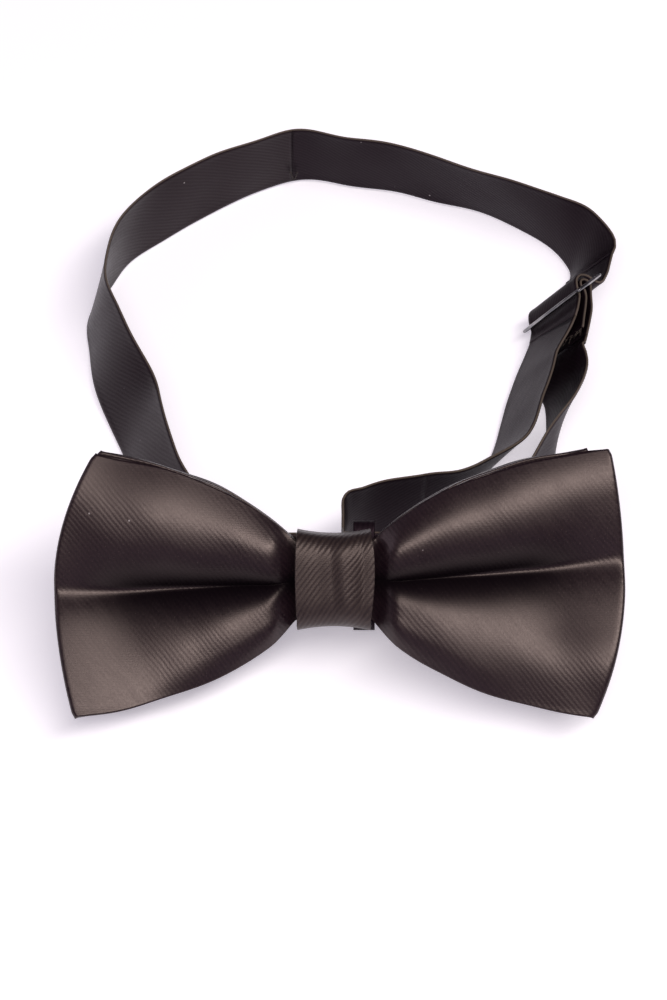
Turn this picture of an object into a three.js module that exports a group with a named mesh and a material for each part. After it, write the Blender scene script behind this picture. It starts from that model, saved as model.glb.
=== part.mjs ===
// Pre-tied bow tie on its own neck strap, lying on a table. Millimetres, +Z up.
// X runs along the bow, -Y is the side the bow faces, and the strap's ring lies behind it.
// The origin ends up on the table, in the middle of the whole object.
import * as THREE from 'three';

// ---------- driving dimensions ----------
const tableClearance = 0.3;
const gap = 0.3;

const bow = {
  halfWidth: 60.5,
  tipHalfHeight: 28.2,
  edgeHalfHeight: 8.4,
  waistHalfHeight: 6.5,
  flareLength: 24,
  clothThickness: 0.9,
  layerPitch: 1.6,
  frontPuff: 5.5,
  valleyDepth: 3.0,
  valleySpread: 0.25,
  valleyReach: 1.5,
  backSag: 1.6,
  leanDegrees: 45,
  rearNarrower: 4.5,
  rearTaller: 0.6,
  rearBackSag: 2.1,
};
// How far each corner of the bow draws in from its widest point.
const cornerInset = { leftTop: 8.5, leftBottom: 4.5, rightTop: 3, rightBottom: 6.5 };

const knot = { halfWidth: 8, halfHeight: 9.3, flare: 1.2, cloth: 1.0 };
const thread = { radius: 0.3, turns: 3, pitch: 0.95, slack: 0.35, squareness: 0.3 };
const strap = { width: 19, thickness: 0.8 };
const keeper = { from: 4.2, width: 4.6, cloth: 0.8, slack: 0.8 };
const sewnEnd = { from: -0.5, length: 15 };
const slider = {
  plate: 0.9,
  bar: 1.2,
  barPitch: 5,
  sideClearance: 0.5,
  tiltDegrees: 27,
  leanDegrees: 35,
  centre: [52.8, 91, 11.8],
  heading: [0.24, 0.97, 0],
};
// Zigzag stitches: the thread, then each patch's length, rows and how far it stays in from the edges.
const stitch = { radius: 0.25 };
const bandEndPatch = { length: 5, rows: 5, inset: 2.5 };
const foldPatch = { length: 2.4, rows: 3, inset: 3, along: -10.5 };
const backPatch = { length: 1.8, rows: 2, width: 2.2, drop: 0.3, lift: 0.35 };

// ---------- small helpers ----------
const radians = THREE.MathUtils.degToRad;
const fabric = (color, roughness) => new THREE.MeshStandardMaterial({ color, roughness, metalness: 0 });
const satin = fabric(0x1c1519, 0.42);
const satinInside = fabric(0x151014, 0.5);
const threadMaterial = fabric(0x201a1c, 0.7);
const gunmetal = new THREE.MeshStandardMaterial({ color: 0x55555a, roughness: 0.3, metalness: 1 });

function named(name, geometry, material) {
  const mesh = new THREE.Mesh(geometry, material.clone());
  mesh.name = name;
  return mesh;
}

// A closed surface over a grid of rings: each ring lists the same number of points.
// The rings either join up last to first, or are closed by flat caps.
function skinRings(rings, joined) {
  const sides = rings[0].length;
  const positions = rings.flat().flatMap((point) => [point.x, point.y, point.z]);
  const indices = [];
  const at = (ring, side) => (ring % rings.length) * sides + (side % sides);
  const spans = joined ? rings.length : rings.length - 1;
  for (let ring = 0; ring < spans; ring += 1) {
    for (let side = 0; side < sides; side += 1) {
      indices.push(at(ring, side), at(ring, side + 1), at(ring + 1, side + 1));
      indices.push(at(ring, side), at(ring + 1, side + 1), at(ring + 1, side));
    }
  }
  if (!joined) {
    const last = rings.length - 1;
    for (let side = 1; side < sides - 1; side += 1) {
      indices.push(at(0, 0), at(0, side + 1), at(0, side));
      indices.push(at(last, 0), at(last, side), at(last, side + 1));
    }
  }
  const geometry = new THREE.BufferGeometry();
  geometry.setAttribute('position', new THREE.Float32BufferAttribute(positions, 3));
  geometry.setIndex(indices);
  geometry.computeVertexNormals();
  return geometry;
}

// ---------- the two flattened loops of the bow ----------
// Half the height of the cloth at a distance from the knot's centre.
function wingHalfHeight(distance, taller) {
  const reach = Math.abs(distance);
  const knotEdge = knot.halfWidth + gap;
  if (reach < knotEdge) {
    const rise = bow.edgeHalfHeight - bow.waistHalfHeight;
    return bow.waistHalfHeight + rise * (reach / knotEdge) ** 2;
  }
  const flare = (length) => 1 - Math.exp(-length / bow.flareLength);
  const share = flare(reach - knotEdge) / flare(bow.halfWidth - knotEdge);
  return bow.edgeHalfHeight + (bow.tipHalfHeight + taller - bow.edgeHalfHeight) * share;
}

// How far along the wing a point is: 0 at the knot, 1 at the tip.
function wingShare(distance) {
  const share = (Math.abs(distance) - knot.halfWidth) / (bow.halfWidth - knot.halfWidth);
  return THREE.MathUtils.clamp(share, 0, 1);
}

function puffOf(distance, row, depth) {
  return depth * Math.sin(Math.PI * wingShare(distance)) * (1 - row * row);
}

function valleyOf(distance, row) {
  const along = wingShare(distance);
  const fade = Math.sin(Math.PI * Math.min(1, along * bow.valleyReach));
  return bow.valleyDepth * fade * Math.exp(-((row / bow.valleySpread) ** 2));
}

// One cloth strip laid as a flat loop: front layer, fold, back layer, fold.
// centre is where its middle lies, counted out of the face of the bow.
function clothLoop(centre, narrower, taller, frontOf, backOf) {
  const half = bow.layerPitch / 2;
  const rows = [-1, -0.66, -0.33, 0, 0.33, 0.66, 1];
  const along = [];
  const steps = 24;
  for (let step = 0; step <= steps; step += 1) along.push({ x: -1 + (2 * step) / steps, turn: 90 });
  along.push({ x: 1, turn: 30 }, { x: 1, turn: -30 });
  for (let step = 0; step <= steps; step += 1) along.push({ x: 1 - (2 * step) / steps, turn: -90 });
  along.push({ x: -1, turn: -30 }, { x: -1, turn: 30 });

  // A sixth of the stations lie under the knot wrap, the rest are spread over the wings.
  const knotShare = 1 / 6;
  const knotEdge = knot.halfWidth + gap;
  const reachOf = (share, tip) => (share <= knotShare
    ? (knotEdge * share) / knotShare
    : knotEdge + ((tip - knotEdge) * (share - knotShare)) / (1 - knotShare));

  const middle = (station, row) => {
    const side = station.x < 0 ? 'left' : 'right';
    const inset = cornerInset[side + (row > 0 ? 'Top' : 'Bottom')] * row * row;
    const tip = bow.halfWidth - narrower - inset;
    const flat = Math.sign(station.x) * reachOf(Math.abs(station.x), tip);
    const blend = (Math.sin(radians(station.turn)) + 1) / 2;
    const lift = frontOf(flat, row) * blend + backOf(flat, row) * (1 - blend);
    const fold = half * Math.cos(radians(station.turn)) * Math.sign(station.x);
    const out = centre + half * Math.sin(radians(station.turn)) + lift;
    return new THREE.Vector3(flat + fold, -out, row * wingHalfHeight(flat, taller));
  };
  const offset = (index, row, distance) => {
    const count = along.length;
    const before = middle(along[(index + count - 1) % count], row);
    const after = middle(along[(index + 1) % count], row);
    const normal = new THREE.Vector3(after.y - before.y, before.x - after.x, 0).normalize();
    return middle(along[index], row).addScaledVector(normal, distance);
  };
  const rings = along.map((station, index) => {
    const outer = rows.map((row) => offset(index, row, bow.clothThickness / 2)).reverse();
    const inner = rows.map((row) => offset(index, row, -bow.clothThickness / 2));
    return [...outer, ...inner];
  });
  return skinRings(rings, true);
}

// Four layers lie one pitch apart; the rear loop follows the front loop's back layer.
const frontCentre = 0.3;
const rearCentre = frontCentre - 2 * bow.layerPitch;
const stackFront = frontCentre + (bow.layerPitch + bow.clothThickness) / 2;
const stackBack = rearCentre - (bow.layerPitch + bow.clothThickness) / 2;
const stackMiddle = (stackFront + stackBack) / 2;
const stackHalfDepth = (stackFront - stackBack) / 2;

const sag = (distance, row) => -puffOf(distance, row, bow.backSag);
const frontFace = (distance, row) => puffOf(distance, row, bow.frontPuff) - valleyOf(distance, row);
const rearFace = (distance, row) => -puffOf(distance, row, bow.rearBackSag);

const frontBow = named('front_bow', clothLoop(frontCentre, 0, 0, frontFace, sag), satin);
const rearBow = named('rear_bow',
  clothLoop(rearCentre, bow.rearNarrower, bow.rearTaller, sag, rearFace), satin);

// ---------- what holds the bow's middle ----------
// A sleeve round the middle, open at both ends of X: a rounded box section with a wall.
function sleeve(from, width, halfHeightAt, halfDepth, middleOut, wall, stations) {
  const sides = 28;
  const squareness = 0.5;
  const point = (x, grow, angle) => {
    const soft = (value) => Math.sign(value) * Math.abs(value) ** squareness;
    const up = (halfHeightAt(x) + grow) * soft(Math.cos(angle));
    const out = middleOut + (halfDepth + grow) * soft(Math.sin(angle));
    return new THREE.Vector3(x, -out, up);
  };
  const rings = [];
  for (let side = 0; side < sides; side += 1) {
    const angle = (2 * Math.PI * (side + 0.5)) / sides;
    const across = Array.from({ length: stations }, (_, index) => from + (width * index) / (stations - 1));
    const outer = across.map((x) => point(x, 0, angle)).reverse();
    const inner = across.map((x) => point(x, -wall, angle));
    rings.push([...outer, ...inner]);
  }
  return skinRings(rings, true);
}

const wrapHalfDepth = stackHalfDepth + 2 * gap + thread.slack + 2 * thread.radius + knot.cloth;
const wrapHalfHeight = (x) => knot.halfHeight + knot.flare * (x / knot.halfWidth) ** 2;
const wrapBack = stackMiddle - wrapHalfDepth;
const knotWrap = named('knot_wrap',
  sleeve(-knot.halfWidth, 2 * knot.halfWidth, wrapHalfHeight, wrapHalfDepth, stackMiddle, knot.cloth, 5),
  satin);

// The gathering thread winds round the pinched waist, under the knot wrap.
class Winding extends THREE.Curve {
  getPoint(share) {
    const angle = 2 * Math.PI * thread.turns * share;
    const soft = (value) => Math.sign(value) * Math.abs(value) ** thread.squareness;
    const room = gap + thread.radius + thread.slack;
    const up = (bow.waistHalfHeight + room) * soft(Math.cos(angle));
    const out = stackMiddle + (stackHalfDepth + room) * soft(Math.sin(angle));
    const x = thread.turns * thread.pitch * (share - 0.5);
    return new THREE.Vector3(x, -out, up);
  }
}

// A thread along a curve: a six-sided section carried by rings that stay square to it.
function threadAlong(curve, steps, radius) {
  const sides = 6;
  const frames = curve.computeFrenetFrames(steps, false);
  const rings = [];
  for (let step = 0; step <= steps; step += 1) {
    const centre = curve.getPointAt(step / steps);
    const ring = [];
    for (let side = 0; side < sides; side += 1) {
      const angle = (2 * Math.PI * side) / sides;
      ring.push(centre.clone()
        .addScaledVector(frames.normals[step], radius * Math.cos(angle))
        .addScaledVector(frames.binormals[step], radius * Math.sin(angle)));
    }
    rings.push(ring);
  }
  return skinRings(rings, false);
}
const gatheringThread = named('gathering_thread',
  threadAlong(new Winding(), 30 * thread.turns, thread.radius), threadMaterial);

// Behind the knot: the strap's sewn end lies on the wrap, and the keeper loop beside it.
const sewnEndOut = wrapBack - gap - strap.thickness / 2;
const keeperHalfDepth = keeper.cloth + gap + strap.thickness / 2 + keeper.slack;
const keeperOut = wrapBack - gap - keeperHalfDepth;
const keeperHalfHeight = strap.width / 2 + keeper.slack + keeper.cloth;
const keeperLoop = named('keeper_loop',
  sleeve(keeper.from, keeper.width, () => keeperHalfHeight, keeperHalfDepth, keeperOut, keeper.cloth, 2),
  satinInside);

const bowLean = radians(bow.leanDegrees);
// The lower corners of the rear bow are what touches the table.
const rearCornerReach = bow.halfWidth - bow.rearNarrower - cornerInset.leftBottom;
const lowestUp = wingHalfHeight(rearCornerReach, bow.rearTaller);
const knotHeight = lowestUp * Math.cos(bowLean) - stackBack * Math.sin(bowLean) + tableClearance;
const fromBow = (x, out, up) => new THREE.Vector3(x,
  -out * Math.cos(bowLean) + up * Math.sin(bowLean),
  knotHeight + out * Math.sin(bowLean) + up * Math.cos(bowLean));
const bowUp = new THREE.Vector3(0, Math.sin(bowLean), Math.cos(bowLean));

// ---------- the strap ----------
// A flat strap along stations that each give its centre and the direction of its width.
function strapAlong(stations, stepsEach) {
  const path = new THREE.CatmullRomCurve3(stations.map((station) => station.centre), false, 'centripetal');
  const widths = new THREE.CatmullRomCurve3(stations.map((station) => station.across), false, 'centripetal');
  const steps = (stations.length - 1) * stepsEach;
  const rings = [];
  for (let step = 0; step <= steps; step += 1) {
    const share = step / steps;
    const centre = path.getPoint(share);
    const tangent = path.getTangent(share);
    const across = widths.getPoint(share);
    across.addScaledVector(tangent, -across.dot(tangent)).normalize();
    const normal = new THREE.Vector3().crossVectors(across, tangent).normalize();
    const corner = (side, face) => centre.clone()
      .addScaledVector(across, (side * strap.width) / 2)
      .addScaledVector(normal, (face * strap.thickness) / 2);
    rings.push([corner(1, 1), corner(1, -1), corner(-1, -1), corner(-1, 1)]);
  }
  return skinRings(rings, false);
}

// A station of the ring: where it stands, how far its top leans towards inward, and how
// far its lower edge is off the table.
function standing(x, y, leanDegrees, inward, raised = 0) {
  const lean = radians(leanDegrees);
  const across = new THREE.Vector3(0, 0, Math.cos(lean)).addScaledVector(inward, Math.sin(lean));
  const half = (strap.width / 2) * Math.cos(lean) + (strap.thickness / 2) * Math.abs(Math.sin(lean));
  return { centre: new THREE.Vector3(x, y, half + tableClearance + raised), across };
}
const ringMiddle = new THREE.Vector3(4, 72, 0);
function ringStation(x, y, leanDegrees, raised = 0) {
  const inward = new THREE.Vector3(ringMiddle.x - x, ringMiddle.y - y, 0).normalize();
  return standing(x, y, leanDegrees, inward, raised);
}

// The slider's own frame: along the strap, out of its inner face, and across it.
const heading = new THREE.Vector3(...slider.heading).normalize();
const outward = new THREE.Vector3(heading.y, -heading.x, 0);
const sliderLean = radians(slider.leanDegrees);
const sliderAcross = new THREE.Vector3(0, 0, Math.cos(sliderLean))
  .addScaledVector(outward, Math.sin(sliderLean));
const sliderOut = new THREE.Vector3().crossVectors(heading, sliderAcross).negate();
const sliderCentre = new THREE.Vector3(...slider.centre);
function sliderStation(along, out) {
  const centre = sliderCentre.clone().addScaledVector(heading, along).addScaledVector(sliderOut, out);
  return { centre, across: sliderAcross.clone() };
}

// The sewn end lies flat on the knot's back and rides with the bow.
const sewnStation = (x) => ({ centre: fromBow(x, sewnEndOut, 0), across: bowUp.clone() });
const bandStart = sewnEnd.from - sewnEnd.length;
const sewnBandEnd = named('sewn_band_end',
  strapAlong([bandStart, (bandStart + sewnEnd.from) / 2, sewnEnd.from].map(sewnStation), 2),
  satin);

// The tilted slider's outer bars: one below the strap's way in, one above its way out.
const barAlong = slider.barPitch * Math.cos(radians(slider.tiltDegrees));
const barOut = slider.barPitch * Math.sin(radians(slider.tiltDegrees));
const besideFarBar = (along, out) => sliderStation(barAlong + along, -barOut + out);
const besideNearBar = (along, out) => sliderStation(-barAlong + along, barOut + out);

// The middle of the band, at the back of the neck.
const backOfNeck = ringStation(-10, 141, 5);

// From the sewn end round the neck to just short of the slider.
const bandStations = [
  sewnStation(bandStart - gap),
  sewnStation(bandStart - gap - 3),
  ringStation(-30, 21, 34, 2.5),
  ringStation(-37.7, 36, 31),
  ringStation(-43.2, 54, 31),
  ringStation(-48.3, 70, 34),
  ringStation(-53, 84, 25),
  ringStation(-55, 97, 14),
  ringStation(-50.5, 111, 2),
  ringStation(-40, 122.8, -3),
  ringStation(-26, 133.6, 1),
  backOfNeck,
  ringStation(4, 139.2, 7),
  ringStation(18, 135.6, 9),
  ringStation(32, 130.5, 12),
  ringStation(44, 124.3, 9),
  ringStation(53, 118.2, -1),
  ringStation(58.4, 113, -16),
  sliderStation(17, -4.4),
  sliderStation(14, -4.45),
];
const neckBand = named('neck_band', strapAlong(bandStations, 3), satin);

// Through the slider, to the keeper behind the knot, round the bight and back.
const besideKeeper = (x, out) => ({ centre: fromBow(x, keeperOut + out, 0), across: bowUp.clone() });
const inKeeper = (x) => besideKeeper(x, 0);
const towardsBack = new THREE.Vector3(0, 1, 0);
const adjustingStations = [
  sliderStation(14 - gap, -4.45),
  sliderStation(11, -4.5),
  sliderStation(8, -4.55),
  besideFarBar(1.35, -2.0),
  besideFarBar(-0.05, -1.7),
  besideFarBar(-1.15, -0.95),
  besideFarBar(-1.55, 0.05),
  sliderStation(2.85, -1.0),
  sliderStation(2.8, 0.2),
  sliderStation(2.3, 1.4),
  sliderStation(1.4, 2.25),
  sliderStation(0, 2.65),
  sliderStation(-1.5, 2.3),
  besideNearBar(1.75, -0.6),
  besideNearBar(0.55, -1.42),
  besideNearBar(-0.75, -1.67),
  besideNearBar(-4.5, -1.87),
  ringStation(46.5, 74, -33, 1.0),
  ringStation(43.2, 62, -33),
  ringStation(39, 48, -30),
  ringStation(31, 39, -18),
  ringStation(20, 33.5, -4),
  standing(11, 31, 0, towardsBack),
  standing(5.8, 30.2, -8, towardsBack),
  standing(3.0, 28.4, -5, towardsBack),
  standing(2.1, 25.5, 0, towardsBack),
  standing(2.0, 20, 0, towardsBack, 1),
  standing(2.0, 14, 20, towardsBack, 2),
  besideKeeper(2.3, -1.8),
  besideKeeper(2.8, -0.5),
  inKeeper(keeper.from - 0.5),
  inKeeper(keeper.from + keeper.width / 2),
  inKeeper(keeper.from + keeper.width + 0.4),
  besideKeeper(keeper.from + keeper.width + 3.5, -0.9),
  standing(19, 14.5, 20, towardsBack, 3),
  standing(30, 22, 8, towardsBack, 1),
  standing(41, 33, 0, towardsBack),
  standing(48.5, 46, -4, outward),
  standing(51.5, 58, 18, outward),
  standing(53, 68, 30, outward, 1),
  sliderStation(-17, -3.9),
  sliderStation(-13 - gap, -3.715),
];
const adjustingStrap = named('adjusting_strap', strapAlong(adjustingStations, 3), satin);

// The strap's end: round the centre bar, back on itself and sewn.
const foldOuterFace = -3.55;
const foldStations = [
  sliderStation(-13, -3.7),
  sliderStation(-9, -3.5),
  sliderStation(-5, -3.1),
  sliderStation(-2.2, -2.2),
  sliderStation(0, -1.5),
  sliderStation(1.06, -1.06),
  sliderStation(1.5, 0),
  sliderStation(1.06, 1.06),
  sliderStation(0, 1.5),
  sliderStation(-1.1, 1.0),
  sliderStation(-1.5, 0.1),
  sliderStation(-2.8, -0.8),
  sliderStation(-5, -1.3),
  sliderStation(-9, -1.8),
  sliderStation(-12, -2.2),
];
const strapEndFold = named('strap_end_fold', strapAlong(foldStations, 3), satin);

// ---------- the slider ----------
// A thin plate with two windows: the strap passes both and goes over the centre bar.
const windowLength = strap.width + 2 * slider.sideClearance;
const plateLength = windowLength + 2 * slider.bar;
const plateWidth = 2 * slider.barPitch + slider.bar;
const windowWidth = slider.barPitch - slider.bar;

function roundedBox(path, left, bottom, width, height, radius) {
  const right = left + width;
  const top = bottom + height;
  path.moveTo(left + radius, bottom);
  path.lineTo(right - radius, bottom);
  path.absarc(right - radius, bottom + radius, radius, -Math.PI / 2, 0, false);
  path.lineTo(right, top - radius);
  path.absarc(right - radius, top - radius, radius, 0, Math.PI / 2, false);
  path.lineTo(left + radius, top);
  path.absarc(left + radius, top - radius, radius, Math.PI / 2, Math.PI, false);
  path.lineTo(left, bottom + radius);
  path.absarc(left + radius, bottom + radius, radius, Math.PI, 1.5 * Math.PI, false);
  return path;
}
const plate = roundedBox(new THREE.Shape(), -plateLength / 2, -plateWidth / 2, plateLength, plateWidth, 1.2);
[-1, 1].forEach((side) => {
  const bottom = (side * slider.barPitch) / 2 - windowWidth / 2;
  plate.holes.push(roundedBox(new THREE.Path(), -windowLength / 2, bottom, windowLength, windowWidth, 0.4));
});
const plateSettings = { depth: slider.plate, bevelEnabled: false, curveSegments: 4 };
const plateGeometry = new THREE.ExtrudeGeometry(plate, plateSettings);
plateGeometry.translate(0, 0, -slider.plate / 2);
const sliderFrame = named('slider_frame', plateGeometry, gunmetal);
const sliderPose = new THREE.Group();
sliderPose.quaternion.setFromRotationMatrix(new THREE.Matrix4().makeBasis(sliderAcross, heading, sliderOut));
sliderPose.position.copy(sliderCentre);
sliderFrame.rotation.x = -radians(slider.tiltDegrees);
sliderPose.add(sliderFrame);

// ---------- stitching ----------
// A bar tack: one thread worked to and fro over a small patch of cloth.
function barTack(width, length, rows) {
  const points = [];
  for (let row = 0; row <= rows; row += 1) {
    const along = -length / 2 + (length * row) / rows;
    const side = row % 2 === 0 ? 1 : -1;
    points.push(new THREE.Vector3(along, 0, (side * width) / 2));
    points.push(new THREE.Vector3(along + (0.4 * length) / rows, 0, (side * width) / 2));
  }
  const curve = new THREE.CatmullRomCurve3(points, false, 'catmullrom', 0.1);
  return threadAlong(curve, 8 * rows, stitch.radius);
}
const tackRoom = strap.thickness / 2 + gap + stitch.radius;

const bandEndStitches = named('band_end_stitches',
  barTack(strap.width - 2 * bandEndPatch.inset, bandEndPatch.length, bandEndPatch.rows), threadMaterial);
bandEndStitches.position.set(sewnEnd.from - bandEndPatch.length, -(sewnEndOut - tackRoom), 0);

// Across the folded strap end, on the side away from the slider's centre bar.
const strapEndStitches = named('strap_end_stitches',
  barTack(strap.width - 2 * foldPatch.inset, foldPatch.length, foldPatch.rows), threadMaterial);
const strapEndPose = new THREE.Group();
strapEndPose.quaternion.setFromRotationMatrix(new THREE.Matrix4().makeBasis(
  heading, sliderOut, sliderAcross,
));
strapEndPose.position.copy(sliderStation(foldPatch.along, foldOuterFace - tackRoom).centre);
strapEndPose.add(strapEndStitches);

// A small tack through the strap in the middle of the neck, on its inner face.
const backTack = named('band_back_tack',
  barTack(backPatch.width, backPatch.length, backPatch.rows), threadMaterial);
const backTackStation = backOfNeck;
const backTackOut = new THREE.Vector3(ringMiddle.x, ringMiddle.y, backTackStation.centre.z)
  .sub(backTackStation.centre)
  .setZ(0)
  .normalize();
const backTackPose = new THREE.Group();
backTackPose.position.copy(backTackStation.centre)
  .addScaledVector(backTackStation.across, -strap.width * backPatch.drop)
  .addScaledVector(backTackOut, tackRoom + backPatch.lift);
backTackPose.add(backTack);

// ---------- assembly ----------
const bowGroup = new THREE.Group();
bowGroup.rotation.x = -bowLean;
bowGroup.position.z = knotHeight;
bowGroup.add(frontBow, rearBow, knotWrap, gatheringThread, keeperLoop, bandEndStitches);
const model = new THREE.Group();
model.add(bowGroup, sewnBandEnd, neckBand, adjustingStrap, strapEndFold);
model.add(sliderPose, strapEndPose, backTackPose);

model.updateMatrixWorld(true);
const bounds = new THREE.Box3().setFromObject(model, true);
const middle = bounds.getCenter(new THREE.Vector3());
const group = new THREE.Group();
group.add(model);
model.position.set(-middle.x, -middle.y, -bounds.min.z);

export default group;
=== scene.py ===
import math

import bpy
import numpy as np
from mathutils import Matrix, Vector


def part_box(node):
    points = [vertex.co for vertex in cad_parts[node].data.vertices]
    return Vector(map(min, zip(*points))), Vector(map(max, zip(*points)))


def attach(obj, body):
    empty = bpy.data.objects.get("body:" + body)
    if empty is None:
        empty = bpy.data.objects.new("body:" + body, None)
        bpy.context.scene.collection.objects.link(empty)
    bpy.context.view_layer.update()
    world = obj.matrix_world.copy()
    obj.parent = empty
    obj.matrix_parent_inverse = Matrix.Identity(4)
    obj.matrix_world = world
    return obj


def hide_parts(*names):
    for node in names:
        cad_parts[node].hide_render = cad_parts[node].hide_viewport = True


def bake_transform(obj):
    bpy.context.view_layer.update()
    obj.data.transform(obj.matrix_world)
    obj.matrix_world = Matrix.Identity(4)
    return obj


# A pre-tied satin bow tie lying on a pale table, with its neck strap standing behind it.
# Lengths in the dictionaries are millimetres; meshes are made in metres.

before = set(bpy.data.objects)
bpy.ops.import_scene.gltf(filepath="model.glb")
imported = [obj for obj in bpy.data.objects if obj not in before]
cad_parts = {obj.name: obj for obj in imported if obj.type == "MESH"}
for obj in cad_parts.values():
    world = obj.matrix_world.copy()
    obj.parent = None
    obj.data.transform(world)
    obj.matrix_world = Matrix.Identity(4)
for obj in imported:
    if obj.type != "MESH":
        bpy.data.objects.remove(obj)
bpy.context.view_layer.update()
print("frame loaded")

mm = 0.001
tau = 2 * math.pi


# places taken from the frame
def boxMiddle(node):
    low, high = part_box(node)
    return (np.array(low) + np.array(high)) / 2


lean = math.radians(45)  # how far the bow leans back from upright
stackMiddle = -1.3  # middle of the four cloth layers, counted out of the bow's face
knotMiddle = boxMiddle("knot_wrap") / mm
sliderMiddle = boxMiddle("slider_frame") / mm
sliderPlace = np.array([52.8, 91.0, 11.8])  # the slider in the strap's own measure
origin = sliderMiddle - sliderPlace  # what carries the strap's own measure into the frame


def bowToFrame(x, out, up):
    # across the bow, out of its face and up its height, turned back by the lean
    out = np.asarray(out) - stackMiddle
    y = knotMiddle[1] - out * math.cos(lean) + up * math.sin(lean)
    z = knotMiddle[2] + out * math.sin(lean) + up * math.cos(lean)
    return np.stack(np.broadcast_arrays(knotMiddle[0] + x, y, z), -1)


# camera
camera = {
    "elevation": 50.0,
    "distance": 800.0,
    "lens": 135.36,
    "sensor": 36.0,
    "knotRight": 0.1,  # where the knot sits from the middle of the view
    "knotDown": 17.45,
}


def makeCamera():
    rise = math.radians(camera["elevation"])
    look = np.array([0, math.cos(rise), -math.sin(rise)])
    upwards = np.array([0, math.sin(rise), math.cos(rise)])
    target = bowToFrame(0, 4.0, 0) - camera["knotRight"] * np.array([1, 0, 0]) + camera["knotDown"] * upwards
    data = bpy.data.cameras.new("camera")
    data.lens = camera["lens"]
    data.sensor_fit = "VERTICAL"
    data.sensor_height = camera["sensor"]
    data.clip_start, data.clip_end = 0.01, 20
    thing = bpy.data.objects.new("camera", data)
    thing.location = (target - camera["distance"] * look) * mm
    thing.rotation_euler = (math.pi / 2 - rise, 0, 0)
    bpy.context.collection.objects.link(thing)
    bpy.context.scene.camera = thing


makeCamera()
print("camera placed")


# mesh making
def smoothStep(low, high, value):
    t = np.clip((value - low) / (high - low), 0, 1)
    return t * t * (3 - 2 * t)


def gridMesh(name, points, across, along, wrapAlong=False, wrapAcross=False, flip=False, caps=False):
    # points is rings x sides x 3 in millimetres; a ring joins the next, and each side its neighbour.
    # across and along are the same shape and become the UV map, in metres of cloth.
    rings, sides = points.shape[:2]
    number = np.arange(rings * sides).reshape(rings, sides)
    nextRing = np.roll(number, -1, 0) if wrapAlong else number[1:]
    here = number if wrapAlong else number[:-1]
    if wrapAcross:
        quads = np.stack([here, np.roll(here, -1, 1), np.roll(nextRing, -1, 1), nextRing], -1)
    else:
        quads = np.stack([here[:, :-1], here[:, 1:], nextRing[:, 1:], nextRing[:, :-1]], -1)
    quads = quads.reshape(-1, 4)
    if flip:
        quads = quads[:, ::-1]
    faces = quads.tolist()
    if caps:
        first, last = number[0].tolist(), number[-1].tolist()
        faces.append(tuple(first) if flip else tuple(first[::-1]))
        faces.append(tuple(last[::-1]) if flip else tuple(last))
    mesh = bpy.data.meshes.new(name)
    mesh.from_pydata((points.reshape(-1, 3) * mm).tolist(), [], faces)
    corners = np.empty(len(mesh.loops), np.int32)
    mesh.loops.foreach_get("vertex_index", corners)
    cloth = mesh.uv_layers.new(name="cloth")
    flat = np.stack([np.broadcast_to(along, points.shape[:2]), np.broadcast_to(across, points.shape[:2])], -1)
    cloth.data.foreach_set("uv", (flat.reshape(-1, 2)[corners] * mm).astype(np.float32).ravel())
    smooth = np.ones(len(mesh.polygons), bool)
    smooth[len(quads):] = False
    mesh.polygons.foreach_set("use_smooth", smooth)
    mesh.update()
    thing = bpy.data.objects.new(name, mesh)
    bpy.context.collection.objects.link(thing)
    return thing


def useModifier(thing, kind, **settings):
    modifier = thing.modifiers.new(kind.lower(), kind)
    for key, value in settings.items():
        setattr(modifier, key, value)
    bpy.context.view_layer.objects.active = thing
    with bpy.context.temp_override(object=thing, active_object=thing, selected_objects=[thing]):
        bpy.ops.object.modifier_apply(modifier=modifier.name)


def wander(length, waves, seed):
    # a gentle unevenness: the mean of a few sines of seeded wavelength and start
    dice = np.random.default_rng(seed)
    total = np.zeros_like(length, float)
    for wave in waves:
        total += np.sin(tau * length / (wave * dice.uniform(0.85, 1.2)) + dice.uniform(0, tau))
    return total / len(waves)


# shader maths
class Reading:
    # a value socket of one material, with the usual operators
    def __init__(self, paint, socket):
        self.paint, self.socket = paint, socket

    def apply(self, operation, *others):
        return self.paint.maths(operation, self, *others)

    def __add__(self, other): return self.apply("ADD", other)
    def __radd__(self, other): return self.apply("ADD", other)
    def __sub__(self, other): return self.apply("SUBTRACT", other)
    def __rsub__(self, other): return self.paint.maths("SUBTRACT", other, self)
    def __mul__(self, other): return self.apply("MULTIPLY", other)
    def __rmul__(self, other): return self.apply("MULTIPLY", other)
    def __truediv__(self, other): return self.apply("DIVIDE", other)
    def __pow__(self, other): return self.apply("POWER", other)
    def sine(self): return self.apply("SINE")
    def size(self): return self.apply("ABSOLUTE")
    def above(self, other): return self.apply("GREATER_THAN", other)
    def most(self, other): return self.apply("MAXIMUM", other)
    def least(self, other): return self.apply("MINIMUM", other)
    def ramp(self, low, high): return self.paint.ramp(self, low, high)


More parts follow.
